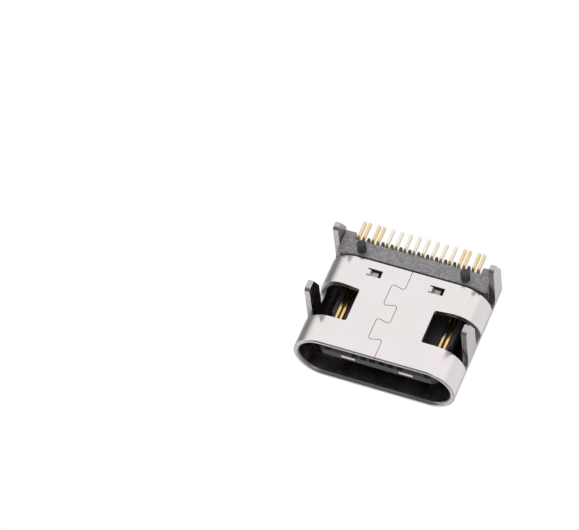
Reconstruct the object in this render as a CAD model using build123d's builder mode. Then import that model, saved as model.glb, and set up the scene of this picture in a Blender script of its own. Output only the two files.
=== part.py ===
from build123d import *
import os

os.makedirs("parts", exist_ok=True)

# A board-mount receptacle in millimetres. X runs across the mouth, Y from the mouth (-Y)
# to the solder tails (+Y), and Z away from the circuit board, whose surface is z = 0.

# Contact places: numbered across the tongue, at one pitch there and on the board
place_count = 12
pitch = 0.50

# Shell: one stamped sheet rolled into a flat tube, joined along its board-side wall
shell_height = 3.16
sheet = 0.30
mouth_y = -3.65
floor_end_y = 2.00
roof_end_y = 3.55
mouth_round = 0.08
lead_in_round = 0.18

# Side windows in the board-side wall, left where the front legs were bent out
window_inner_x = 2.08
window_front_y = -1.95
window_back_y = 0.10
window_back_slant = 0.27
window_corner = 0.12

# Solder legs, bent straight down from the shell's widest line
leg_tip_z = -1.20
leg_tip_round = 0.20
leg_root_rise = 0.30
leg_root_flare = 0.16
front_leg_front_y = -1.53
front_leg_back_y = -0.38
front_leg_tip_length = 0.62
front_leg_slope_end_z = -0.10
rear_leg_front_y = 2.55
rear_leg_tip_length = 0.42
rear_leg_slope_end_z = -0.10

# Joint along the board-side wall: a fine slit with two dovetail tabs
seam_gap = 0.024
seam_x = -0.15
seam_tab_reach = 0.75
seam_tab_neck = 1.00
seam_tab_flare = 0.20
seam_tab_centres_y = (0.27, -1.95)
seam_round = 0.15

# Two joggled lances pressed into the board-side wall near its rear edge
lance_x = 1.73
lance_y = 1.30
lance_hole_width = 0.80
lance_hole_length = 0.45
lance_length = 0.60
lance_flat = 0.12
lance_ramp = 0.15
lance_sheet = 0.12
lance_drop = 0.15
lance_root_z = 0.08
lance_side_gap = 0.06

# Insulator: its base closes the rear of the shell
base_front_y = 2.55
comb_end_y = 3.32
base_end_y = 3.45
base_roof_z = 1.00
base_side_gap = 0.03
base_stand_off = 0.05
floor_gap = 0.14
corner_block_gap = 0.09

# Locating pegs under the insulator
peg_x = 2.89
peg_y = 2.50
peg_radius = 0.25
peg_tip_z = -0.58
peg_chamfer = 0.07
peg_root = 0.20

# Tongue, which carries the contacts on both faces, and the plug's room beside it
tongue_margin = 0.595
tongue_side_room = 0.825
tongue_thickness = 0.70
contact_stand_proud = 0.02
tongue_front_y = -3.15
nose_length = 0.35
nose_edge_chamfer = 0.12
tip_opening_side_gap = 0.03
tongue_root_front_y = 1.35
tongue_root_shoulder = 0.255
tongue_root_thickness = 1.30

# Ground plate between the two contact rows, with its latch notches and front tabs
plate_thickness = 0.15
plate_tab_x = 1.60
plate_tab_width = 0.76
latch_notch_y = -1.35
latch_notch_length = 0.80
latch_notch_depth = 0.12

# Contact carriers, one under and one over the ground plate
carrier_rail = 0.205
carrier_end_y = 2.90

# Contacts
contact_sheet = 0.15
contact_width = 0.25
contact_front_y = -2.70
fan_start_y = 1.60
fan_end_y = 2.60
fan_overlap = 0.05
drop_y = 3.18
tail_end_y = 4.20
tail_width = 0.22
paired_tail_width = 0.24
paired_tail_offset = 0.14
inner_pair_spacing = 0.65
outer_pair_spacing = 0.80
bend_radius = 0.14
tail_slot_gap = 0.07
tine_gap = 0.05
tine_width = 0.17
tine_front_y = -2.20
tine_root_y = 0.90
tine_root_length = 0.30

# Narrow tails from -X to +X, each its own contact's row and number
NARROW_TAILS = [("b", 8), ("a", 5), ("b", 7), ("a", 6), ("a", 7), ("b", 6), ("a", 8), ("b", 5)]

# Values that follow
mid_z = shell_height / 2
tongue_width = (place_count - 1) * pitch + 2 * tongue_margin
mouth_width = tongue_width + 2 * tongue_side_room
mouth_height = shell_height - 2 * sheet
shell_width = mouth_width + 2 * sheet
shell_side_x = shell_width / 2
window_outer_x = shell_side_x + sheet
tongue_root_width = tongue_width + 2 * tongue_root_shoulder
last_narrow_x = (len(NARROW_TAILS) - 1) / 2 * pitch
inner_pair_x = last_narrow_x + inner_pair_spacing
outer_pair_x = inner_pair_x + outer_pair_spacing
outer_tail_edge_x = outer_pair_x + paired_tail_offset + paired_tail_width / 2
base_half_width = mouth_width / 2 - base_side_gap
corner_block_width = base_half_width - outer_tail_edge_x - corner_block_gap
tongue_plastic = tongue_thickness - 2 * contact_stand_proud
carrier_front_y = tongue_front_y + nose_length
carrier_width = tongue_width - 2 * carrier_rail
row_z = tongue_thickness / 2 - contact_sheet / 2
tip_opening_width = contact_width + 2 * tip_opening_side_gap
slot_front_y = drop_y - contact_sheet / 2 - tail_slot_gap

front_leg = (front_leg_front_y, front_leg_back_y, front_leg_tip_length, front_leg_slope_end_z)
rear_leg = (rear_leg_front_y, roof_end_y, rear_leg_tip_length, rear_leg_slope_end_z)

# Row a lies over the ground plate and is counted from -X, row b lies under it and from +X
ROW_HEIGHTS = {"a": mid_z + row_z, "b": mid_z - row_z}
ROW_SIGNS = {"a": 1, "b": -1}

# Wide tails in pairs: middle of the pair, then its outer and its inner contact
PAIRED_TAILS = [
    (-outer_pair_x, ("a", 1), ("b", 12)),
    (-inner_pair_x, ("a", 4), ("b", 9)),
    (inner_pair_x, ("a", 9), ("b", 4)),
    (outer_pair_x, ("a", 12), ("b", 1)),
]

# Each contact's row and number, place of its tail, and width of its tail
CONTACTS = []
for index, place in enumerate(NARROW_TAILS):
    CONTACTS.append((place, index * pitch - last_narrow_x, tail_width))
for pair_x, outer_place, inner_place in PAIRED_TAILS:
    offset = paired_tail_offset if pair_x > 0 else -paired_tail_offset
    CONTACTS.append((outer_place, pair_x + offset, paired_tail_width))
    CONTACTS.append((inner_place, pair_x - offset, paired_tail_width))


def leg_corners(front_y, back_y, tip_length, slope_end_z):
    """Side outline of one leg: flared root, straight front, short tip, sloped back."""
    return [
        (front_y - leg_root_flare, mid_z),
        (front_y, mid_z - leg_root_rise),
        (front_y, leg_tip_z),
        (front_y + tip_length, leg_tip_z),
        (back_y, slope_end_z),
        (back_y, mid_z),
    ]


def seam_points():
    """Corners of the joint line, from behind the rear edge to in front of the mouth."""
    points = [(seam_x, floor_end_y + sheet)]
    for centre_y in seam_tab_centres_y:
        neck = seam_tab_neck / 2
        head = neck + seam_tab_flare
        points.append((seam_x, centre_y + neck))
        points.append((seam_x + seam_tab_reach, centre_y + head))
        points.append((seam_x + seam_tab_reach, centre_y - head))
        points.append((seam_x, centre_y - neck))
    points.append((seam_x, mouth_y - sheet))
    return points


def tongue_place(row, number):
    """Where a contact's strip lies across the tongue."""
    first_place_x = -(place_count - 1) / 2 * pitch
    return ROW_SIGNS[row] * (first_place_x + (number - 1) * pitch)


def contact_part(row, number, tail_x, width):
    """One contact: strip on the tongue, fanned run in the base, drop and solder tail."""
    row_height = ROW_HEIGHTS[row]
    tongue_x = tongue_place(row, number)
    with BuildPart() as contact:
        with BuildSketch(Plane.XY.offset(row_height - contact_sheet / 2)):
            with BuildLine():
                Polyline(
                    (tongue_x - contact_width / 2, contact_front_y),
                    (tongue_x - contact_width / 2, fan_start_y),
                    (tail_x - width / 2, fan_end_y),
                    (tail_x - width / 2, fan_end_y + fan_overlap),
                    (tail_x + width / 2, fan_end_y + fan_overlap),
                    (tail_x + width / 2, fan_end_y),
                    (tongue_x + contact_width / 2, fan_start_y),
                    (tongue_x + contact_width / 2, contact_front_y),
                    close=True,
                )
            make_face()
            if number in (1, place_count):
                side = 1 if tongue_x > 0 else -1
                tine_x = tongue_x + side * (contact_width / 2 + tine_gap + tine_width / 2)
                with Locations((tine_x, (tine_front_y + tine_root_y) / 2)):
                    Rectangle(tine_width, tine_root_y - tine_front_y)
                root_width = tine_gap + tine_width
                root_x = tongue_x + side * (contact_width + root_width) / 2
                with Locations((root_x, tine_root_y + tine_root_length / 2)):
                    Rectangle(root_width, tine_root_length)
        extrude(amount=contact_sheet)
        with BuildSketch(Plane.YZ.offset(tail_x - width / 2)):
            with BuildLine():
                FilletPolyline(
                    (fan_end_y, row_height),
                    (drop_y, row_height),
                    (drop_y, contact_sheet / 2),
                    (tail_end_y, contact_sheet / 2),
                    radius=bend_radius,
                )
            trace(line_width=contact_sheet)
        extrude(amount=width)
    return contact.part


# Shell
with BuildPart() as shell:
    with BuildSketch(Plane.XZ.offset(-roof_end_y)):
        with Locations((0, mid_z)):
            SlotOverall(shell_width, shell_height)
            SlotOverall(mouth_width, mouth_height, mode=Mode.SUBTRACT)
    extrude(amount=roof_end_y - mouth_y)
    # One straight edge of the rim takes the rounding all the way along it: first its inner edge
    fillet(shell.edges().group_by(Axis.Y)[0].group_by(Axis.Z)[1], lead_in_round)
    fillet(shell.edges().group_by(Axis.Y)[0].group_by(Axis.Z)[0], mouth_round)
    # Behind the rear edge only the roof and the upper sides go on
    with BuildSketch():
        with Locations((0, (floor_end_y + roof_end_y + sheet) / 2)):
            Rectangle(shell_width + sheet, roof_end_y + sheet - floor_end_y)
    extrude(amount=mid_z, mode=Mode.SUBTRACT)
    # Windows, a little longer at the side than at their inner edge
    with BuildSketch() as windows:
        for side in (1, -1):
            with BuildLine():
                Polyline(
                    (side * window_inner_x, window_front_y),
                    (side * window_outer_x, window_front_y),
                    (side * window_outer_x, window_back_y + window_back_slant),
                    (side * window_inner_x, window_back_y),
                    close=True,
                )
            make_face()
        corners = windows.vertices()
        fillet(corners.filter_by_position(Axis.X, -window_inner_x, window_inner_x), window_corner)
    extrude(amount=mid_z, mode=Mode.SUBTRACT)
    # Legs
    for inner_x in (shell_side_x - sheet, -shell_side_x):
        with BuildSketch(Plane.YZ.offset(inner_x)) as legs:
            for leg in (front_leg, rear_leg):
                with BuildLine():
                    Polyline(*leg_corners(*leg), close=True)
                make_face()
            fillet(legs.vertices().group_by(Axis.Y)[0], leg_tip_round)
        extrude(amount=sheet)
    # Joint line
    with BuildSketch():
        with BuildLine():
            FilletPolyline(*seam_points(), radius=seam_round)
        trace(line_width=seam_gap)
    extrude(amount=mid_z, mode=Mode.SUBTRACT)
    # Lances
    with BuildSketch():
        with Locations((lance_x, lance_y), (-lance_x, lance_y)):
            Rectangle(lance_hole_width, lance_hole_length)
    extrude(amount=sheet, mode=Mode.SUBTRACT)
    with BuildSketch(Plane.XZ.offset(-(lance_y + lance_hole_length / 2 - lance_side_gap))):
        for centre_x in (lance_x, -lance_x):
            root_x = centre_x + lance_hole_width / 2
            with BuildLine():
                Polyline(
                    (root_x, lance_root_z),
                    (root_x - lance_flat, lance_root_z),
                    (root_x - lance_flat - lance_ramp, lance_root_z + lance_drop),
                    (root_x - lance_length, lance_root_z + lance_drop),
                )
            trace(line_width=lance_sheet)
    extrude(amount=lance_hole_length - 2 * lance_side_gap)

# Contacts
contact_parts = {}
for (row, number), tail_x, width in CONTACTS:
    contact_parts[f"contact_{row}{number}"] = contact_part(row, number, tail_x, width)

# Openings that the mould leaves in the tongue's nose, from its tip to the contacts' front ends
with BuildPart() as tip_openings:
    for (row, number), _, _ in CONTACTS:
        with BuildSketch(Plane.XY.offset(ROW_HEIGHTS[row] - contact_sheet / 2)):
            with Locations((tongue_place(row, number), (tongue_front_y + contact_front_y) / 2)):
                Rectangle(tip_opening_width, contact_front_y - tongue_front_y)
        extrude(amount=contact_sheet)

# Ground plate
with BuildPart() as ground_plate:
    with BuildSketch(Plane.XY.offset(mid_z - plate_thickness / 2)):
        with Locations((0, (carrier_front_y + carrier_end_y) / 2)):
            Rectangle(tongue_width, carrier_end_y - carrier_front_y)
        tab_y = tongue_front_y + nose_length / 2
        with Locations((plate_tab_x, tab_y), (-plate_tab_x, tab_y)):
            Rectangle(plate_tab_width, nose_length)
        with Locations((tongue_width / 2, latch_notch_y), (-tongue_width / 2, latch_notch_y)):
            Rectangle(2 * latch_notch_depth, latch_notch_length, mode=Mode.SUBTRACT)
    extrude(amount=plate_thickness)

# Contact carriers
carrier_height = (tongue_plastic - plate_thickness) / 2
with BuildPart() as lower_carrier:
    with BuildSketch(Plane.XY.offset(mid_z - tongue_plastic / 2)):
        with Locations((0, (carrier_front_y + carrier_end_y) / 2)):
            Rectangle(carrier_width, carrier_end_y - carrier_front_y)
    extrude(amount=carrier_height)
    add(tip_openings.part, mode=Mode.SUBTRACT)
    for contact in contact_parts.values():
        add(contact, mode=Mode.SUBTRACT)

with BuildPart() as upper_carrier:
    with BuildSketch(Plane.XY.offset(mid_z + plate_thickness / 2)):
        with Locations((0, (carrier_front_y + carrier_end_y) / 2)):
            Rectangle(carrier_width, carrier_end_y - carrier_front_y)
    extrude(amount=carrier_height)
    add(tip_openings.part, mode=Mode.SUBTRACT)
    for contact in contact_parts.values():
        add(contact, mode=Mode.SUBTRACT)

# Insulator
with BuildPart() as housing:
    # Base: rounded over, to follow the shell, and square below, between the rear legs
    with BuildSketch(Plane.XZ.offset(-comb_end_y)):
        with Locations((0, mid_z)):
            SlotOverall(2 * base_half_width, mouth_height)
        with Locations((0, (base_stand_off + mid_z) / 2)):
            Rectangle(2 * base_half_width, mid_z - base_stand_off)
    extrude(amount=comb_end_y - base_front_y)
    # Upper rear and corner blocks, behind the comb
    with BuildSketch(Plane.XZ.offset(-base_end_y)):
        with Locations((0, mid_z)):
            SlotOverall(2 * base_half_width, mouth_height)
        with Locations((0, base_roof_z / 2)):
            Rectangle(2 * base_half_width, base_roof_z, mode=Mode.SUBTRACT)
        corner_x = base_half_width - corner_block_width / 2
        corner_z = (base_stand_off + mid_z) / 2
        with Locations((corner_x, corner_z), (-corner_x, corner_z)):
            Rectangle(corner_block_width, mid_z - base_stand_off)
    extrude(amount=base_end_y - comb_end_y)
    # Floor flange, level with the inside of the board-side wall
    flange_front_y = floor_end_y + floor_gap
    with BuildSketch(Plane.XY.offset(base_stand_off)):
        with Locations((0, (flange_front_y + base_front_y) / 2)):
            Rectangle(2 * base_half_width, base_front_y - flange_front_y)
    extrude(amount=sheet - base_stand_off)
    # Thick root of the tongue
    with BuildSketch(Plane.XZ.offset(-base_front_y)):
        with Locations((0, mid_z)):
            Rectangle(tongue_root_width, tongue_root_thickness)
    extrude(amount=base_front_y - tongue_root_front_y)
    # Tongue with its tapered nose and latch notches
    with BuildSketch(Plane.XY.offset(mid_z - tongue_plastic / 2)):
        with Locations((0, (tongue_front_y + tongue_root_front_y) / 2)):
            Rectangle(tongue_width, tongue_root_front_y - tongue_front_y)
        with Locations((tongue_width / 2, latch_notch_y), (-tongue_width / 2, latch_notch_y)):
            Rectangle(2 * latch_notch_depth, latch_notch_length, mode=Mode.SUBTRACT)
    extrude(amount=tongue_plastic)
    nose_edges = housing.edges().filter_by(Axis.Z).group_by(Axis.Y)[0]
    chamfer(nose_edges, nose_length)
    chamfer(housing.edges().filter_by(Axis.X).group_by(Axis.Y)[0], nose_edge_chamfer)
    # Locating pegs
    with BuildSketch(Plane.XY.offset(peg_tip_z)):
        with Locations((peg_x, peg_y), (-peg_x, peg_y)):
            Circle(peg_radius)
    extrude(amount=base_stand_off + peg_root - peg_tip_z)
    chamfer(housing.edges().group_by(Axis.Z)[0], peg_chamfer)
    # Comb: one slot for each tail
    for (row, number), tail_x, width in CONTACTS:
        slot_top_z = ROW_HEIGHTS[row] + contact_sheet / 2 + tail_slot_gap
        with BuildSketch():
            with Locations((tail_x, (slot_front_y + base_end_y) / 2)):
                Rectangle(width + 2 * tail_slot_gap, base_end_y - slot_front_y)
        extrude(amount=slot_top_z, mode=Mode.SUBTRACT)
    # Moulded round the carriers, the ground plate and the contacts
    with BuildSketch(Plane.XY.offset(mid_z - tongue_plastic / 2)):
        with Locations((0, (carrier_front_y + carrier_end_y) / 2)):
            Rectangle(carrier_width, carrier_end_y - carrier_front_y)
    extrude(amount=tongue_plastic, mode=Mode.SUBTRACT)
    add(ground_plate.part, mode=Mode.SUBTRACT)
    add(tip_openings.part, mode=Mode.SUBTRACT)
    for contact in contact_parts.values():
        add(contact, mode=Mode.SUBTRACT)

shell.part.label = "shell"
housing.part.label = "housing"
lower_carrier.part.label = "lower_carrier"
upper_carrier.part.label = "upper_carrier"
ground_plate.part.label = "ground_plate"

export_step(shell.part, "parts/shell.step")
export_step(housing.part, "parts/housing.step")
export_step(lower_carrier.part, "parts/lower_carrier.step")
export_step(upper_carrier.part, "parts/upper_carrier.step")
export_step(ground_plate.part, "parts/ground_plate.step")
for contact_name, contact in contact_parts.items():
    contact.label = contact_name
    export_step(contact, f"parts/{contact_name}.step")
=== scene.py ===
"""Dresses a board-mount receptacle: nickel-plated shell, black moulding and gold contacts.

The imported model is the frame. Its nodes give the sizes and places that the pieces here are
fitted to. Lengths in this file are millimetres, and mm() turns them to metres.
"""

import logging
import math
from dataclasses import dataclass
from enum import Enum

import bmesh
import bpy
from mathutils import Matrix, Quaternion, Vector


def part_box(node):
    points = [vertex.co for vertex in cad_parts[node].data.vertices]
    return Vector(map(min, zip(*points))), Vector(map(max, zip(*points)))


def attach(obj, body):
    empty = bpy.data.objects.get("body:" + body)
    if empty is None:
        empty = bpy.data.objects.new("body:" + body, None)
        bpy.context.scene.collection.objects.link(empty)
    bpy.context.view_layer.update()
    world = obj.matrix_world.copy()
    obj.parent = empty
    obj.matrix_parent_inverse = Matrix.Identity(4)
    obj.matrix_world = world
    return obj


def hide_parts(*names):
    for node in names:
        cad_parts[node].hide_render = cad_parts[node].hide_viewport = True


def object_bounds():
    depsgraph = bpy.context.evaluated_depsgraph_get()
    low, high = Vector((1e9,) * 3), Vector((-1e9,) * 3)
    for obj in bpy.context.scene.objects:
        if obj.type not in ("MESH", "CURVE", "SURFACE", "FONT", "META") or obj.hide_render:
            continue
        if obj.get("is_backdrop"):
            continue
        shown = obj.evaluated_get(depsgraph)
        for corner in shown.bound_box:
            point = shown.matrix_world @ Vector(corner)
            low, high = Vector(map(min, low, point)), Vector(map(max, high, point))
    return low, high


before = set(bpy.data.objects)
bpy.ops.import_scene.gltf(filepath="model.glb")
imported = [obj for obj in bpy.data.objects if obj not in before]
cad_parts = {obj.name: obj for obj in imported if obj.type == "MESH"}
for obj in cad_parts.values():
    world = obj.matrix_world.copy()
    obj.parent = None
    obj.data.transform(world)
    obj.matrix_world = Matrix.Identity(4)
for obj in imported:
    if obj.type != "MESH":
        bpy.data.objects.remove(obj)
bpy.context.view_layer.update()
BODY = "root"
CONTACT_NUMBERS = (1, 4, 5, 6, 7, 8, 9, 12)
MM_PER_METRE = 1000.0
# Blender's noise stays mostly between these two values
NOISE_LOW = 0.35
NOISE_HIGH = 0.65
# Rows of faces in the rounding of a sharp edge
ROUNDING_STEPS = 2
LOG = logging.getLogger("receptacle")


class Slot(Enum):
    """The record's material slots of the pieces that replace nodes. Kept nodes have their own."""

    SHELL = "shell_metal"
    INSULATOR = "insulator_plastic"
    CONTACT = "contact_gold"


class SheetFace(Enum):
    """The faces of a bent sheet, numbered as the piece's material slots."""

    OUTSIDE = 0
    INSIDE = 1
    CUT = 2


class Side(Enum):
    """Where a panel of the surroundings lies, as a direction from the part to it."""

    UNDER = (0.0, 0.0, -1.0)
    BACK_LEFT = (-0.72, 0.60, 0.36)
    FRONT_RIGHT = (0.68, -0.68, 0.27)
    BACK_RIGHT = (0.82, 0.50, 0.27)
    FRONT_TOP = (0.20, -0.45, 0.87)
    FRONT = (0.27, -0.95, -0.10)
    FRONT_LEFT = (-0.76, -0.51, -0.37)
    FRONT_UNDER = (0.27, -0.52, -0.81)


def mm(length: float) -> float:
    """Turns millimetres to metres."""
    return length / MM_PER_METRE


def per_metre(size_mm: float) -> float:
    """Gives the scale at which a texture's features are size_mm across."""
    return MM_PER_METRE / size_mm


def linear(hex_colour: str) -> tuple[float, float, float, float]:
    """Turns an sRGB hex colour to a linear colour.

    Args:
        hex_colour: Six hex digits after a hash sign.

    Returns:
        Red, green, blue and an alpha of 1, as the shaders take them.
    """
    # The sRGB curve: straight near black, and a power of 2.4 above that
    channels = []
    for start in (1, 3, 5):
        value = int(hex_colour[start:start + 2], 16) / 255.0
        channels.append(value / 12.92 if value <= 0.04045 else ((value + 0.055) / 1.055) ** 2.4)
    return (channels[0], channels[1], channels[2], 1.0)


def add_node(
    tree: bpy.types.NodeTree,
    kind: str,
    settings: dict | None = None,
    inputs: dict | None = None,
) -> bpy.types.Node:
    """Adds one node to a tree, with its settings and its links.

    Args:
        tree: The shader or geometry tree.
        kind: The node's class name.
        settings: The node's own settings, by name.
        inputs: Input sockets by name or number, each with a value or an output to link.

    Returns:
        The new node.
    """
    node = tree.nodes.new(kind)
    for name, value in (settings or {}).items():
        setattr(node, name, value)
    for key, value in (inputs or {}).items():
        if isinstance(value, bpy.types.NodeSocket):
            tree.links.new(value, node.inputs[key])
        else:
            node.inputs[key].default_value = value
    return node


def blank_material(name: str) -> tuple[bpy.types.Material, bpy.types.NodeTree]:
    """Makes a material with an empty node tree.

    Args:
        name: The material's name.

    Returns:
        The material and its tree.
    """
    material = bpy.data.materials.new(name)
    material.use_nodes = True
    material.node_tree.nodes.clear()
    return material, material.node_tree


def grain(
    tree: bpy.types.NodeTree,
    size_mm: tuple[float, float, float],
    detail: float = 2.0,
) -> bpy.types.NodeSocket:
    """Adds noise whose grains are size_mm long on each axis.

    Args:
        tree: The material's tree.
        size_mm: Length of a grain along X, Y and Z.
        detail: Octaves of finer noise in it.

    Returns:
        The noise value, from 0 to 1.
    """
    place = add_node(tree, "ShaderNodeTexCoord")
    stretch = add_node(
        tree,
        "ShaderNodeMapping",
        inputs={"Vector": place.outputs["Object"], "Scale": tuple(per_metre(s) for s in size_mm)},
    )
    noise = add_node(
        tree,
        "ShaderNodeTexNoise",
        inputs={"Vector": stretch.outputs["Vector"], "Scale": 1.0, "Detail": detail},
    )
    return noise.outputs["Fac"]


def spread(
    tree: bpy.types.NodeTree,
    value: bpy.types.NodeSocket,
    low: float,
    high: float,
) -> bpy.types.NodeSocket:
    """Maps noise to a range.

    Args:
        tree: The material's tree.
        value: The noise.
        low: What its low end becomes.
        high: What its high end becomes.

    Returns:
        The mapped value.
    """
    mapped = add_node(
        tree,
        "ShaderNodeMapRange",
        inputs={
            "Value": value,
            "From Min": NOISE_LOW,
            "From Max": NOISE_HIGH,
            "To Min": low,
            "To Max": high,
        },
    )
    return mapped.outputs["Result"]


def two_tones(
    tree: bpy.types.NodeTree,
    factor: bpy.types.NodeSocket,
    first: str | bpy.types.NodeSocket,
    second: str | bpy.types.NodeSocket,
) -> bpy.types.NodeSocket:
    """Blends two colours of one material, each a hex colour or another blend.

    Args:
        tree: The material's tree.
        factor: 0 for the first colour, 1 for the second.
        first: The first colour.
        second: The second colour.

    Returns:
        The blended colour.
    """
    tones = [linear(tone) if isinstance(tone, str) else tone for tone in (first, second)]
    blend = add_node(
        tree,
        "ShaderNodeMix",
        {"data_type": "RGBA"},
        {"Factor": factor, "A": tones[0], "B": tones[1]},
    )
    return blend.outputs["Result"]


def relief(
    tree: bpy.types.NodeTree,
    height: bpy.types.NodeSocket,
    depth_mm: float,
    under: bpy.types.NodeSocket | None = None,
) -> bpy.types.NodeSocket:
    """Adds a bump of a real depth.

    Args:
        tree: The material's tree.
        height: The pattern, from 0 to 1.
        depth_mm: How deep it is.
        under: The normal of a coarser relief below this one.

    Returns:
        The bumped normal.
    """
    inputs = {"Height": height, "Distance": mm(depth_mm), "Strength": 1.0}
    if under is not None:
        inputs["Normal"] = under
    return add_node(tree, "ShaderNodeBump", inputs=inputs).outputs["Normal"]


@dataclass(frozen=True)
class NickelPlate:
    """Nickel-plated stainless sheet, rolled and stamped: bright, hazy, with faint draw lines."""

    name: str = "nickel_plated_steel"
    warm_hex: str = "#EEE6E8"
    cool_hex: str = "#EAE7E5"
    smooth: float = 0.15
    hazy: float = 0.26
    tone_mm: float = 2.4
    haze_mm: float = 0.7
    line_width_mm: float = 0.07
    line_length_mm: float = 2.5
    line_depth_mm: float = 0.0006
    wave_mm: float = 1.1
    wave_depth_mm: float = 0.004

    def material(self) -> bpy.types.Material:
        """Builds the material: plating over a sheet that was drawn along the socket.

        Returns:
            The material.
        """
        material, tree = blank_material(self.name)
        tone = spread(tree, grain(tree, (self.tone_mm,) * 3, 0.0), 0.0, 1.0)
        haze = spread(tree, grain(tree, (self.haze_mm,) * 3), self.smooth, self.hazy)
        wave = relief(tree, grain(tree, (self.wave_mm,) * 3, 0.0), self.wave_depth_mm)
        lines = grain(tree, (self.line_width_mm, self.line_length_mm, self.line_width_mm))
        shader = add_node(
            tree,
            "ShaderNodeBsdfPrincipled",
            inputs={
                "Base Color": two_tones(tree, tone, self.warm_hex, self.cool_hex),
                "Metallic": 1.0,
                "Roughness": haze,
                "Normal": relief(tree, lines, self.line_depth_mm, wave),
            },
        )
        add_node(tree, "ShaderNodeOutputMaterial", inputs={"Surface": shader.outputs["BSDF"]})
        return material


@dataclass(frozen=True)
class ShearedSteel:
    """The cut faces of the sheet: burnished by the die, then torn, so duller than its skin."""

    name: str = "sheared_nickel_steel"
    base_hex: str = "#D4D0D0"
    torn_hex: str = "#B4AFAE"
    smooth: float = 0.24
    torn: float = 0.38
    streak_mm: float = 0.05
    streak_length_mm: float = 0.30
    streak_depth_mm: float = 0.002

    def material(self) -> bpy.types.Material:
        """Builds the material: short streaks in the direction of the punch.

        Returns:
            The material.
        """
        material, tree = blank_material(self.name)
        streaks = grain(tree, (self.streak_mm, self.streak_mm, self.streak_length_mm))
        share = spread(tree, streaks, 0.0, 1.0)
        shader = add_node(
            tree,
            "ShaderNodeBsdfPrincipled",
            inputs={
                "Base Color": two_tones(tree, share, self.base_hex, self.torn_hex),
                "Metallic": 1.0,
                "Roughness": spread(tree, streaks, self.smooth, self.torn),
                "Normal": relief(tree, streaks, self.streak_depth_mm),
            },
        )
        add_node(tree, "ShaderNodeOutputMaterial", inputs={"Surface": shader.outputs["BSDF"]})
        return material


@dataclass(frozen=True)
class StainlessPlate:
    """Plain cold-rolled stainless sheet: greyer and duller than the plated shell."""

    name: str = "cold_rolled_stainless"
    light_hex: str = "#F0DCDC"
    dark_hex: str = "#D8C4C4"
    smooth: float = 0.18
    dull: float = 0.32
    line_width_mm: float = 0.04
    line_length_mm: float = 1.2
    line_depth_mm: float = 0.001

    def material(self) -> bpy.types.Material:
        """Builds the material: rolling lines along the tongue.

        Returns:
            The material.
        """
        material, tree = blank_material(self.name)
        lines = grain(tree, (self.line_width_mm, self.line_length_mm, self.line_width_mm))
        share = spread(tree, lines, 0.0, 1.0)
        shader = add_node(
            tree,
            "ShaderNodeBsdfPrincipled",
            inputs={
                "Base Color": two_tones(tree, share, self.light_hex, self.dark_hex),
                "Metallic": 1.0,
                "Roughness": spread(tree, lines, self.smooth, self.dull),
                "Normal": relief(tree, lines, self.line_depth_mm),
            },
        )
        add_node(tree, "ShaderNodeOutputMaterial", inputs={"Surface": shader.outputs["BSDF"]})
        return material


@dataclass(frozen=True)
class MouldedPolymer:
    """Glass-filled liquid-crystal polymer, injection moulded: dark, matt, faintly streaked.

    Where a comb colour is given, it is painted shade on the comb between the tails that pass
    through it.
    """

    name: str
    pale_hex: str
    dark_hex: str
    ior: float = 1.58
    smooth: float = 0.42
    matt: float = 0.62
    flow_mm: float = 0.9
    flow_width_mm: float = 0.35
    grain_mm: float = 0.045
    grain_depth_mm: float = 0.004
    comb_shade_hex: str = ""
    comb_start_y_mm: tuple[float, float] = (3.03, 3.10)
    comb_end_y_mm: float = 3.325
    comb_half_width_mm: float = 3.42

    def comb_shade_share(self, tree: bpy.types.NodeTree) -> bpy.types.NodeSocket:
        """Marks the comb between the tails, where shade is painted darker than the rest of the
        moulding.

        Args:
            tree: The material's tree.

        Returns:
            1 on the comb and 0 elsewhere.
        """
        place = add_node(tree, "ShaderNodeTexCoord")
        axes = add_node(tree, "ShaderNodeSeparateXYZ", inputs={"Vector": place.outputs["Object"]})
        start = add_node(
            tree,
            "ShaderNodeMapRange",
            inputs={
                "Value": axes.outputs["Y"],
                "From Min": mm(self.comb_start_y_mm[0]),
                "From Max": mm(self.comb_start_y_mm[1]),
            },
        )
        aside = add_node(tree, "ShaderNodeMath", {"operation": "ABSOLUTE"}, {0: axes.outputs["X"]})
        share = start.outputs["Result"]
        for along, end_mm in (
            (axes.outputs["Y"], self.comb_end_y_mm),
            (aside.outputs["Value"], self.comb_half_width_mm),
        ):
            short_of = add_node(
                tree, "ShaderNodeMath", {"operation": "LESS_THAN"}, {0: along, 1: mm(end_mm)}
            )
            both = add_node(
                tree,
                "ShaderNodeMath",
                {"operation": "MULTIPLY"},
                {0: share, 1: short_of.outputs["Value"]},
            )
            share = both.outputs["Value"]
        return share

    def material(self) -> bpy.types.Material:
        """Builds the material: flow marks across the moulding and a spark-eroded grain.

        Returns:
            The material.
        """
        material, tree = blank_material(self.name)
        flow = grain(tree, (self.flow_mm, self.flow_width_mm, self.flow_width_mm), 3.0)
        # The eroded grain is about 0.02 mm on the real moulding, drawn coarser to show at all
        fine = grain(tree, (self.grain_mm,) * 3)
        colour = two_tones(tree, spread(tree, flow, 0.0, 1.0), self.pale_hex, self.dark_hex)
        # Painted shade: the comb between the tails is darkened to a dark brown
        if self.comb_shade_hex:
            colour = two_tones(tree, self.comb_shade_share(tree), colour, self.comb_shade_hex)
        shader = add_node(
            tree,
            "ShaderNodeBsdfPrincipled",
            inputs={
                "Base Color": colour,
                "Roughness": spread(tree, fine, self.smooth, self.matt),
                "IOR": self.ior,
                "Normal": relief(tree, fine, self.grain_depth_mm),
            },
        )
        add_node(tree, "ShaderNodeOutputMaterial", inputs={"Surface": shader.outputs["BSDF"]})
        return material


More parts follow.
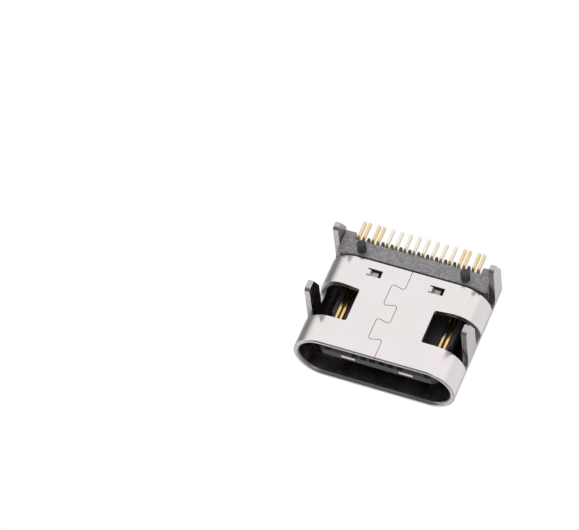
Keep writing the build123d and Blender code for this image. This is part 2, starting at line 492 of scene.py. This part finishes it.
@dataclass(frozen=True)
class GoldPlate:
    """Gold over nickel on a copper-alloy strip, paled towards the tails as a painted highlight."""

    name: str = "gold_plated_copper_alloy"
    pale_hex: str = "#F8DCA4"
    deep_hex: str = "#EEC37C"
    tail_highlight_hex: str = "#F4EADA"
    tail_highlight_y_mm: tuple[float, float] = (3.10, 3.45)
    smooth: float = 0.09
    dull: float = 0.22
    patch_mm: float = 0.6
    line_width_mm: float = 0.03
    line_length_mm: float = 0.9
    line_depth_mm: float = 0.0008

    def material(self) -> bpy.types.Material:
        """Builds the material: plating of uneven depth over a slit and rolled strip.

        Returns:
            The material.
        """
        material, tree = blank_material(self.name)
        patch = spread(tree, grain(tree, (self.patch_mm,) * 3), 0.0, 1.0)
        gold_tone = two_tones(tree, patch, self.pale_hex, self.deep_hex)
        # Painted highlight: towards the tails the gold pales to a near-white cream
        place = add_node(tree, "ShaderNodeTexCoord")
        axes = add_node(tree, "ShaderNodeSeparateXYZ", inputs={"Vector": place.outputs["Object"]})
        tail_highlight_share = add_node(
            tree,
            "ShaderNodeMapRange",
            inputs={
                "Value": axes.outputs["Y"],
                "From Min": mm(self.tail_highlight_y_mm[0]),
                "From Max": mm(self.tail_highlight_y_mm[1]),
            },
        )
        plated = two_tones(tree, tail_highlight_share.outputs["Result"], gold_tone, self.tail_highlight_hex)
        lines = grain(tree, (self.line_width_mm, self.line_length_mm, self.line_length_mm))
        shader = add_node(
            tree,
            "ShaderNodeBsdfPrincipled",
            inputs={
                "Base Color": plated,
                "Metallic": 1.0,
                "Roughness": spread(tree, lines, self.smooth, self.dull),
                "Normal": relief(tree, lines, self.line_depth_mm),
            },
        )
        add_node(tree, "ShaderNodeOutputMaterial", inputs={"Surface": shader.outputs["BSDF"]})
        return material


# Greyer than the outside as painted shade for the shell's inside and the lances' sunk faces, and
# nearly free of waves
INSIDE_SHADE_NICKEL = NickelPlate(
    name="inside_shade_nickel_steel",
    warm_hex="#BDB9B8",
    cool_hex="#A6A2A1",
    smooth=0.24,
    hazy=0.34,
    wave_depth_mm=0.001,
)
# From a spark-eroded mould, speckled with pale glass fibre: the black plastic painted grey as
# painted light, with painted shade at the comb
LIT_BASE_POLYMER = MouldedPolymer(
    name="lit_base_liquid_crystal_polymer",
    pale_hex="#979496",
    dark_hex="#737174",
    flow_mm=0.17,
    flow_width_mm=0.11,
    grain_mm=0.09,
    grain_depth_mm=0.012,
    comb_shade_hex="#3C3230",
)
# From a polished mould: nearly black, with long faint flow marks
POLISHED_POLYMER = MouldedPolymer(
    name="polished_liquid_crystal_polymer", pale_hex="#383639", dark_hex="#2C2B2E"
)
# The carriers: the black plastic darkened further as painted shade, as black as the openings around
# it
CARRIER_SHADE_POLYMER = MouldedPolymer(
    name="carrier_shade_liquid_crystal_polymer", pale_hex="#262628", dark_hex="#1E1E20"
)
# The power and ground contacts keep their yellow right to the tails, with a weaker painted
# highlight there
POWER_CONTACT_GOLD = GoldPlate(name="power_contact_gold_plated_copper_alloy", tail_highlight_hex="#F2D8A6")


def joined_mesh(node: str, name: str, weld_mm: float, flat_deg: float) -> bpy.types.Mesh:
    """Copies a node's mesh and joins its loose triangles into whole faces.

    Args:
        node: The node to copy.
        name: The new mesh's name.
        weld_mm: How near corners are that become one.
        flat_deg: Faces that meet at less than this become one.

    Returns:
        The new mesh, with the node's own left as it was.
    """
    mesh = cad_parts[node].data.copy()
    mesh.name = name
    if "custom_normal" in mesh.attributes:
        mesh.attributes.remove(mesh.attributes["custom_normal"])
    shape = bmesh.new()
    shape.from_mesh(mesh)
    bmesh.ops.remove_doubles(shape, verts=shape.verts, dist=mm(weld_mm))
    bmesh.ops.dissolve_limit(
        shape, angle_limit=math.radians(flat_deg), verts=shape.verts, edges=shape.edges
    )
    shape.to_mesh(mesh)
    shape.free()
    mesh.materials.clear()
    return mesh


def soften_edges(piece: bpy.types.Object, round_mm: float, sharp_deg: float) -> None:
    """Rounds a piece's sharp edges and shades the rest as smooth.

    Args:
        piece: The piece.
        round_mm: Width of the rounding.
        sharp_deg: Edges that turn by more than this are rounded.
    """
    piece.data.shade_smooth()
    piece.data.set_sharp_from_angle(angle=math.radians(sharp_deg))
    edge = piece.modifiers.new("edge_round", "BEVEL")
    edge.width = mm(round_mm)
    edge.segments = ROUNDING_STEPS
    edge.limit_method = "ANGLE"
    edge.angle_limit = math.radians(sharp_deg)
    edge.use_clamp_overlap = True
    edge.harden_normals = True


def settle(piece: bpy.types.Object, slot: Slot, *nodes: str) -> None:
    """Fixes a finished piece to the body and says which nodes it stands for.

    Args:
        piece: The piece, with its place in its mesh.
        slot: The record's slot for the piece's finish. Not used.
        nodes: The nodes that it replaces.
    """
    bpy.context.scene.collection.objects.link(piece)
    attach(piece, BODY)
    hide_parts(*nodes)
    LOG.info("%s: %d faces for %s", piece.name, len(piece.data.polygons), ", ".join(nodes))


@dataclass
class Shell:
    """The rolled shell: its outside, its inside greyed with painted shade, and its cut faces."""

    node: str = "shell"
    weld_mm: float = 0.0005
    flat_deg: float = 0.4
    edge_round_mm: float = 0.014
    sharp_deg: float = 35.0
    wall_mm: float = 0.30
    wall_slack_mm: float = 0.01
    skin_share: float = 0.5
    recess_mm: float = 0.03

    def build(self, finishes: dict[SheetFace, bpy.types.Material]) -> bpy.types.Object:
        """Makes the shell.

        Args:
            finishes: The finish of each kind of face.

        Returns:
            The finished piece.
        """
        mesh = joined_mesh(self.node, "shell_skin", self.weld_mm, self.flat_deg)
        for kind in SheetFace:
            mesh.materials.append(finishes[kind])
        _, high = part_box(self.node)
        # The tube is high.z tall and stands on z = 0, so its rounded sides turn about these lines
        mid_z = high.z / 2
        core_x = high.x - mid_z
        for face in mesh.polygons:
            face.material_index = self.kind(face, core_x, mid_z).value
        piece = bpy.data.objects.new("shell_skin", mesh)
        soften_edges(piece, self.edge_round_mm, self.sharp_deg)
        settle(piece, Slot.SHELL, self.node)
        return piece

    def kind(self, face: bpy.types.MeshPolygon, core_x: float, mid_z: float) -> SheetFace:
        """Tells which face of the sheet a face is by the way that it points.

        Args:
            face: The face.
            core_x: Half the distance between the centres of the rounded sides.
            mid_z: Height of the tube's middle.

        Returns:
            Outside or inside where it points across the sheet, or else cut. A lance's pressed face
            counts as inside, so it takes the same painted shade.
        """
        centre = face.center
        leg_x = core_x + mid_z - mm(self.wall_mm + self.wall_slack_mm)
        out_x = math.copysign(max(abs(centre.x) - core_x, 0.0), centre.x)
        out_z = centre.z - mid_z
        recessed = math.hypot(out_x, out_z) < mid_z - mm(self.recess_mm)
        if out_z < 0.0 and abs(centre.x) > leg_x:
            out_z = 0.0
        outward = face.normal.dot(Vector((out_x, 0.0, out_z)).normalized())
        if outward > self.skin_share:
            return SheetFace.INSIDE if recessed else SheetFace.OUTSIDE
        if outward < -self.skin_share:
            return SheetFace.INSIDE
        return SheetFace.CUT


@dataclass
class Insulator:
    """The black moulding with its tongue, comb and pegs, and the carriers moulded into it."""

    node: str = "housing"
    weld_mm: float = 0.0005
    flat_deg: float = 0.4
    edge_round_mm: float = 0.025
    sharp_deg: float = 35.0
    base_front_y_mm: float = 2.10
    base_under_z_mm: float = 0.04

    def build(self, base: bpy.types.Material, tongue: bpy.types.Material) -> bpy.types.Object:
        """Makes the moulding.

        Args:
            base: Finish of the base, from an eroded mould, painted grey as painted light.
            tongue: Finish of the tongue and pegs, from a polished one.

        Returns:
            The finished piece.
        """
        mesh = joined_mesh(self.node, "moulded_insulator", self.weld_mm, self.flat_deg)
        mesh.materials.append(base)
        mesh.materials.append(tongue)
        # The base takes a grey copy of the black plastic as painted light; the tongue and pegs keep
        # the black
        for face in mesh.polygons:
            on_tongue = face.center.y < mm(self.base_front_y_mm)
            on_peg = face.center.z < mm(self.base_under_z_mm)
            face.material_index = int(on_tongue or on_peg)
        piece = bpy.data.objects.new("moulded_insulator", mesh)
        soften_edges(piece, self.edge_round_mm, self.sharp_deg)
        settle(piece, Slot.INSULATOR, self.node)
        return piece


@dataclass
class StripTree:
    """The node tree that sweeps a flat strip with rounded edges along a path."""

    name: str = "contact_strip"
    bend_steps: int = 8
    edge_steps: int = 3

    def tree(self) -> bpy.types.NodeTree:
        """Builds the tree, with the strip's sizes and finish as its inputs.

        Returns:
            The tree.
        """
        tree = bpy.data.node_groups.new(self.name, "GeometryNodeTree")
        face = tree.interface
        face.new_socket("Path", in_out="INPUT", socket_type="NodeSocketGeometry")
        for name in ("Width", "Thickness", "Edge Radius", "Bend Radius"):
            face.new_socket(name, in_out="INPUT", socket_type="NodeSocketFloat")
        face.new_socket("Finish", in_out="INPUT", socket_type="NodeSocketMaterial")
        face.new_socket("Strip", in_out="OUTPUT", socket_type="NodeSocketGeometry")
        given = add_node(tree, "NodeGroupInput").outputs
        path = add_node(tree, "GeometryNodeMeshToCurve", inputs={"Mesh": given["Path"]})
        bends = self.rounded(tree, path.outputs["Curve"], self.bend_steps, given["Bend Radius"])
        tangent = add_node(tree, "GeometryNodeInputTangent")
        upright = add_node(
            tree,
            "ShaderNodeVectorMath",
            {"operation": "CROSS_PRODUCT"},
            {0: (1.0, 0.0, 0.0), 1: tangent.outputs["Tangent"]},
        )
        turned = add_node(
            tree,
            "GeometryNodeSetCurveNormal",
            {"mode": "FREE"},
            {"Curve": bends, "Normal": upright.outputs["Vector"]},
        )
        section = add_node(
            tree,
            "GeometryNodeCurvePrimitiveQuadrilateral",
            inputs={"Width": given["Width"], "Height": given["Thickness"]},
        )
        edges = self.rounded(tree, section.outputs["Curve"], self.edge_steps, given["Edge Radius"])
        sweep = add_node(
            tree,
            "GeometryNodeCurveToMesh",
            inputs={"Curve": turned.outputs["Curve"], "Profile Curve": edges, "Fill Caps": True},
        )
        real = add_node(
            tree, "GeometryNodeRealizeInstances", inputs={"Geometry": sweep.outputs["Mesh"]}
        )
        dressed = add_node(
            tree,
            "GeometryNodeSetMaterial",
            inputs={"Geometry": real.outputs["Geometry"], "Material": given["Finish"]},
        )
        add_node(tree, "NodeGroupOutput", inputs={"Strip": dressed.outputs["Geometry"]})
        return tree

    def rounded(
        self,
        tree: bpy.types.NodeTree,
        curve: bpy.types.NodeSocket,
        steps: int,
        radius: bpy.types.NodeSocket,
    ) -> bpy.types.NodeSocket:
        """Rounds the corners of a curve.

        Args:
            tree: The tree.
            curve: The curve.
            steps: How many points each corner becomes.
            radius: The corners' radius.

        Returns:
            The rounded curve.
        """
        fillet = add_node(
            tree,
            "GeometryNodeFilletCurve",
            inputs={"Curve": curve, "Radius": radius, "Limit Radius": True},
        )
        # The mode is a setting of the node in some versions and an input in others
        if "Mode" in fillet.inputs:
            fillet.inputs["Mode"].default_value = "Poly"
        else:
            fillet.mode = "POLY"
        fillet.inputs["Count"].default_value = steps
        return fillet.outputs["Curve"]


@dataclass
class ContactRow:
    """Contacts of one row: strips on the tongue that fan out, drop and end in solder tails."""

    row: str
    numbers: tuple[int, ...]
    tree: bpy.types.NodeTree
    signal_gold: bpy.types.Material
    power_gold: bpy.types.Material
    power_numbers: tuple[int, ...] = (1, 4, 9, 12)
    sheet_mm: float = 0.15
    strip_width_mm: float = 0.25
    tine_width_mm: float = 0.17
    tine_gap_mm: float = 0.05
    tine_front_y_mm: float = -2.20
    tine_join_y_mm: tuple[float, float] = (0.95, 1.25)
    fan_y_mm: tuple[float, float] = (1.60, 2.60)
    drop_y_mm: float = 3.18
    bend_radius_mm: float = 0.14
    edge_radius_mm: float = 0.02
    sharp_deg: float = 40.0
    end_slack_mm: float = 0.001

    def build(self) -> list[bpy.types.Object]:
        """Makes each contact of the row as a piece of its own."""
        return [self.contact(number) for number in self.numbers]

    def contact(self, number: int) -> bpy.types.Object:
        """Makes one contact where its node is.

        Args:
            number: The contact's place in the row.

        Returns:
            The finished piece.
        """
        node = f"contact_{self.row}{number}"
        gold = self.power_gold if number in self.power_numbers else self.signal_gold
        low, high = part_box(node)
        corners = [v.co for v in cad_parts[node].data.vertices]
        slack = mm(self.end_slack_mm)
        front = [c.x for c in corners if c.y < low.y + slack]
        back = [c.x for c in corners if c.y > high.y - slack]
        strip_x = (min(front) + max(front)) / 2
        tail_x = (min(back) + max(back)) / 2
        half_sheet = mm(self.sheet_mm) / 2
        top_z = high.z - half_sheet
        drop_y = mm(self.drop_y_mm)
        path = [
            Vector((strip_x, low.y, top_z)),
            Vector((strip_x, mm(self.fan_y_mm[0]), top_z)),
            Vector((tail_x, mm(self.fan_y_mm[1]), top_z)),
            Vector((tail_x, drop_y, top_z)),
            Vector((tail_x, drop_y, half_sheet)),
            Vector((tail_x, high.y, half_sheet)),
        ]
        tail_width = max(back) - min(back)
        strips = [self.strip(path, tail_width, gold)]
        if self.has_tine(corners, strip_x):
            strips.append(self.strip(self.tine_path(strip_x, top_z), mm(self.tine_width_mm), gold))
        mesh = self.joined(strips)
        mesh.name = f"gold_{node}"
        mesh.shade_smooth()
        mesh.set_sharp_from_angle(angle=math.radians(self.sharp_deg))
        piece = bpy.data.objects.new(f"gold_{node}", mesh)
        settle(piece, Slot.CONTACT, node)
        return piece

    def has_tine(self, corners: list[Vector], strip_x: float) -> bool:
        """Tells whether a contact has a second tine beside its strip.

        Args:
            corners: The node's corners.
            strip_x: Where its strip lies.

        Returns:
            True if corners lie well beside the strip, ahead of the fan.
        """
        reach = mm(self.strip_width_mm) / 2 + mm(self.tine_gap_mm) / 2
        return any(abs(c.x - strip_x) > reach and c.y < mm(self.tine_join_y_mm[0]) for c in corners)

    def tine_path(self, strip_x: float, top_z: float) -> list[Vector]:
        """Gives the path of a contact's outer tine, which bends in to join its strip.

        Args:
            strip_x: Where the strip lies.
            top_z: Height of the strip's middle.

        Returns:
            The corners of the tine's middle line.
        """
        step = mm(self.strip_width_mm / 2 + self.tine_gap_mm + self.tine_width_mm / 2)
        tine_x = strip_x + math.copysign(step, strip_x)
        return [
            Vector((tine_x, mm(self.tine_front_y_mm), top_z)),
            Vector((tine_x, mm(self.tine_join_y_mm[0]), top_z)),
            Vector((strip_x, mm(self.tine_join_y_mm[1]), top_z)),
        ]

    def strip(
        self,
        path: list[Vector],
        width: float,
        gold: bpy.types.Material,
    ) -> bpy.types.Mesh:
        """Sweeps a strip along a path with the node tree.

        Args:
            path: The middle line's corners.
            width: The strip's width, in metres.
            gold: Its plating.

        Returns:
            The strip as a plain mesh.
        """
        line = bpy.data.meshes.new("strip_path")
        line.from_pydata(path, [(i, i + 1) for i in range(len(path) - 1)], [])
        holder = bpy.data.objects.new("strip_path", line)
        bpy.context.scene.collection.objects.link(holder)
        sweep = holder.modifiers.new("sweep", "NODES")
        sweep.node_group = self.tree
        values = {
            "Width": width,
            "Thickness": mm(self.sheet_mm),
            "Edge Radius": mm(self.edge_radius_mm),
            "Bend Radius": mm(self.bend_radius_mm),
            "Finish": gold,
        }
        for item in self.tree.interface.items_tree:
            if item.in_out == "INPUT" and item.name in values:
                sweep[item.identifier] = values[item.name]
        drawn = holder.evaluated_get(bpy.context.evaluated_depsgraph_get())
        mesh = bpy.data.meshes.new_from_object(drawn)
        bpy.data.objects.remove(holder)
        bpy.data.meshes.remove(line)
        return mesh

    def joined(self, parts: list[bpy.types.Mesh]) -> bpy.types.Mesh:
        """Puts several strips of one contact in one mesh.

        Args:
            parts: The strips.

        Returns:
            One mesh that holds them all.
        """
        shape = bmesh.new()
        for part in parts:
            shape.from_mesh(part)
        mesh = parts[0]
        shape.to_mesh(mesh)
        shape.free()
        return mesh


@dataclass
class KeptNodes:
    """Nodes whose own shape is right, which only need their finish."""

    nodes: tuple[str, ...]
    finish: bpy.types.Material

    def dress(self) -> None:
        """Gives each node its finish through its material slots."""
        for name in self.nodes:
            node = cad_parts[name]
            node.data.materials.clear()
            node.data.materials.append(self.finish)
            LOG.info("%s keeps its shape and is %s", name, self.finish.name)


@dataclass(frozen=True)
class Panel:
    """A part of the surroundings that the metal mirrors: where it is and how bright."""

    side: Side
    level: float
    full_deg: float
    fade_deg: float


@dataclass(frozen=True)
class Softbox:
    """A square lamp that faces the part: where it stands and how bright, where 1 is white."""

    name: str
    place_mm: tuple[float, float, float]
    level: float


@dataclass
class Studio:
    """Floor, lamps and surroundings: plain, pale and soft."""

    floor_radius_mm: float = 260.0
    floor_fade_mm: float = 60.0
    floor_sides: int = 96
    floor_hex: str = "#F6F6F7"
    light_hex: str = "#FFFFFF"
    backdrop_level: float = 1.0
    softbox_side_mm: float = 90.0
    softboxes: tuple[Softbox, ...] = (
        Softbox("lamp_under", (40.0, 85.0, -130.0), 4.4),
        Softbox("lamp_over", (-70.0, -80.0, 120.0), 6.0),
        Softbox("lamp_front", (-10.0, -140.0, -30.0), 4.0),
    )
    fill_level: float = 0.52
    mirror_level: float = 0.50
    panels: tuple[Panel, ...] = (
        Panel(Side.UNDER, 1.0, 62.0, 98.0),
        Panel(Side.BACK_LEFT, 0.85, 20.0, 48.0),
        Panel(Side.FRONT_RIGHT, 1.0, 20.0, 40.0),
        Panel(Side.BACK_RIGHT, 0.22, 6.0, 24.0),
        Panel(Side.FRONT_TOP, 1.0, 12.0, 34.0),
        Panel(Side.FRONT, 0.10, 22.0, 42.0),
        Panel(Side.FRONT_UNDER, 0.25, 20.0, 40.0),
        Panel(Side.FRONT_LEFT, 0.25, 12.0, 34.0),
    )

    def build(self) -> None:
        """Makes the surroundings, the lamps and the floor."""
        self.surroundings()
        for softbox in self.softboxes:
            self.lamp(softbox)
        self.floor()

    def surroundings(self) -> None:
        """Sets the world: white to the camera, an even fill, and panels that metal mirrors."""
        world = bpy.data.worlds.new("studio")
        world.use_nodes = True
        bpy.context.scene.world = world
        tree = world.node_tree
        tree.nodes.clear()
        place = add_node(tree, "ShaderNodeTexCoord")
        level = None
        for panel in self.panels:
            toward = Vector(panel.side.value).normalized()
            facing = add_node(
                tree,
                "ShaderNodeVectorMath",
                {"operation": "DOT_PRODUCT"},
                {0: place.outputs["Generated"], 1: tuple(toward)},
            )
            share = add_node(
                tree,
                "ShaderNodeMapRange",
                {"interpolation_type": "SMOOTHSTEP"},
                {
                    "Value": facing.outputs["Value"],
                    "From Min": math.cos(math.radians(panel.fade_deg)),
                    "From Max": math.cos(math.radians(panel.full_deg)),
                },
            )
            mixed = add_node(
                tree,
                "ShaderNodeMix",
                {"data_type": "FLOAT"},
                {
                    "Factor": share.outputs["Result"],
                    "A": self.mirror_level if level is None else level,
                    "B": panel.level,
                },
            )
            level = mixed.outputs["Result"]
        path = add_node(tree, "ShaderNodeLightPath")
        strength = add_node(
            tree,
            "ShaderNodeMix",
            {"data_type": "FLOAT"},
            {"Factor": path.outputs["Is Glossy Ray"], "A": self.fill_level, "B": level},
        )
        seen = add_node(
            tree,
            "ShaderNodeMix",
            {"data_type": "FLOAT"},
            {
                "Factor": path.outputs["Is Camera Ray"],
                "A": strength.outputs["Result"],
                "B": self.backdrop_level,
            },
        )
        light = add_node(
            tree,
            "ShaderNodeBackground",
            inputs={"Color": linear(self.light_hex), "Strength": seen.outputs["Result"]},
        )
        add_node(tree, "ShaderNodeOutputWorld", inputs={"Surface": light.outputs["Background"]})

    def lamp(self, softbox: Softbox) -> None:
        """Adds a softbox, turned to the part and unseen in its reflections.

        Args:
            softbox: The lamp to add.
        """
        side = mm(self.softbox_side_mm)
        light = bpy.data.lights.new(softbox.name, "AREA")
        light.shape = "SQUARE"
        light.size = side
        light.energy = softbox.level * math.pi * side * side
        lamp = bpy.data.objects.new(softbox.name, light)
        place = Vector([mm(along) for along in softbox.place_mm])
        lamp.location = place
        lamp.rotation_mode = "QUATERNION"
        lamp.rotation_quaternion = place.to_track_quat("Z", "Y")
        lamp.visible_camera = False
        lamp.visible_glossy = False
        bpy.context.scene.collection.objects.link(lamp)

    def floor(self) -> None:
        """Lays the floor under the legs, seen from above alone and fading out far away."""
        low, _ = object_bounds()
        shape = bmesh.new()
        bmesh.ops.create_circle(
            shape, cap_ends=True, segments=self.floor_sides, radius=mm(self.floor_radius_mm)
        )
        bmesh.ops.translate(shape, verts=shape.verts, vec=(0.0, 0.0, low.z))
        mesh = bpy.data.meshes.new("floor")
        shape.to_mesh(mesh)
        shape.free()
        floor = bpy.data.objects.new("floor", mesh)
        bpy.context.scene.collection.objects.link(floor)
        mesh.materials.append(self.floor_paint())
        floor.visible_diffuse = False
        floor.visible_glossy = False
        floor.visible_transmission = False
        floor.visible_shadow = False
        floor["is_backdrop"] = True

    def floor_paint(self) -> bpy.types.Material:
        """Makes matt white paint, clear from behind and at the floor's rim.

        Returns:
            The material.
        """
        material, tree = blank_material("matt_white_floor")
        paint = add_node(
            tree, "ShaderNodeBsdfDiffuse", inputs={"Color": linear(self.floor_hex)}
        )
        clear = add_node(tree, "ShaderNodeBsdfTransparent")
        place = add_node(tree, "ShaderNodeTexCoord")
        away = add_node(
            tree,
            "ShaderNodeVectorMath",
            {"operation": "LENGTH"},
            {0: place.outputs["Object"]},
        )
        rim = add_node(
            tree,
            "ShaderNodeMapRange",
            {"interpolation_type": "SMOOTHSTEP"},
            {
                "Value": away.outputs["Value"],
                "From Min": mm(self.floor_fade_mm),
                "From Max": mm(self.floor_radius_mm),
            },
        )
        behind = add_node(tree, "ShaderNodeNewGeometry")
        hidden = add_node(
            tree,
            "ShaderNodeMath",
            {"operation": "MAXIMUM"},
            {0: rim.outputs["Result"], 1: behind.outputs["Backfacing"]},
        )
        mixed = add_node(
            tree,
            "ShaderNodeMixShader",
            inputs={0: hidden.outputs["Value"], 1: paint.outputs["BSDF"], 2: clear.outputs["BSDF"]},
        )
        add_node(tree, "ShaderNodeOutputMaterial", inputs={"Surface": mixed.outputs["Shader"]})
        return material


@dataclass
class Viewpoint:
    """The photograph's view: from under the board side, past the mouth, almost upside down."""

    azimuth_deg: float = -28.25
    elevation_deg: float = -55.06
    roll_deg: float = 171.95
    distance_mm: float = 209.3
    aim_mm: tuple[float, float, float] = (5.91, -0.06, -0.70)
    lens_mm: float = 249.7
    sensor_mm: float = 36.0
    clip_mm: tuple[float, float] = (10.0, 5000.0)

    def build(self) -> None:
        """Makes the camera and gives it to the scene."""
        data = bpy.data.cameras.new("camera")
        data.lens = self.lens_mm
        data.sensor_width = self.sensor_mm
        data.clip_start, data.clip_end = (mm(distance) for distance in self.clip_mm)
        camera = bpy.data.objects.new("camera", data)
        turn = math.radians(self.azimuth_deg)
        rise = math.radians(self.elevation_deg)
        back = Vector(
            (math.sin(turn) * math.cos(rise), -math.cos(turn) * math.cos(rise), math.sin(rise))
        )
        roll = Quaternion((0.0, 0.0, 1.0), math.radians(self.roll_deg))
        camera.rotation_mode = "QUATERNION"
        camera.rotation_quaternion = back.to_track_quat("Z", "Y") @ roll
        camera.location = Vector([mm(along) for along in self.aim_mm]) + back * mm(self.distance_mm)
        bpy.context.scene.collection.objects.link(camera)
        bpy.context.scene.camera = camera


def main() -> None:
    """Builds the camera, the pieces and the studio, in that order."""
    logging.basicConfig(level=logging.INFO, format="%(name)s: %(message)s")
    bpy.context.scene.view_settings.view_transform = "Standard"
    Viewpoint().build()
    finishes = {
        SheetFace.OUTSIDE: NickelPlate().material(),
        # The inside and the lances' sunk faces take a greyer copy of the nickel: painted shade
        SheetFace.INSIDE: INSIDE_SHADE_NICKEL.material(),
        SheetFace.CUT: ShearedSteel().material(),
    }
    Shell().build(finishes)
    Insulator().build(LIT_BASE_POLYMER.material(), POLISHED_POLYMER.material())
    KeptNodes(("lower_carrier", "upper_carrier"), CARRIER_SHADE_POLYMER.material()).dress()
    KeptNodes(("ground_plate",), StainlessPlate().material()).dress()
    strip_tree = StripTree().tree()
    signal_gold = GoldPlate().material()
    power_gold = POWER_CONTACT_GOLD.material()
    for row in ("a", "b"):
        ContactRow(row, CONTACT_NUMBERS, strip_tree, signal_gold, power_gold).build()
    Studio().build()


if __name__ == "__main__":
    main()
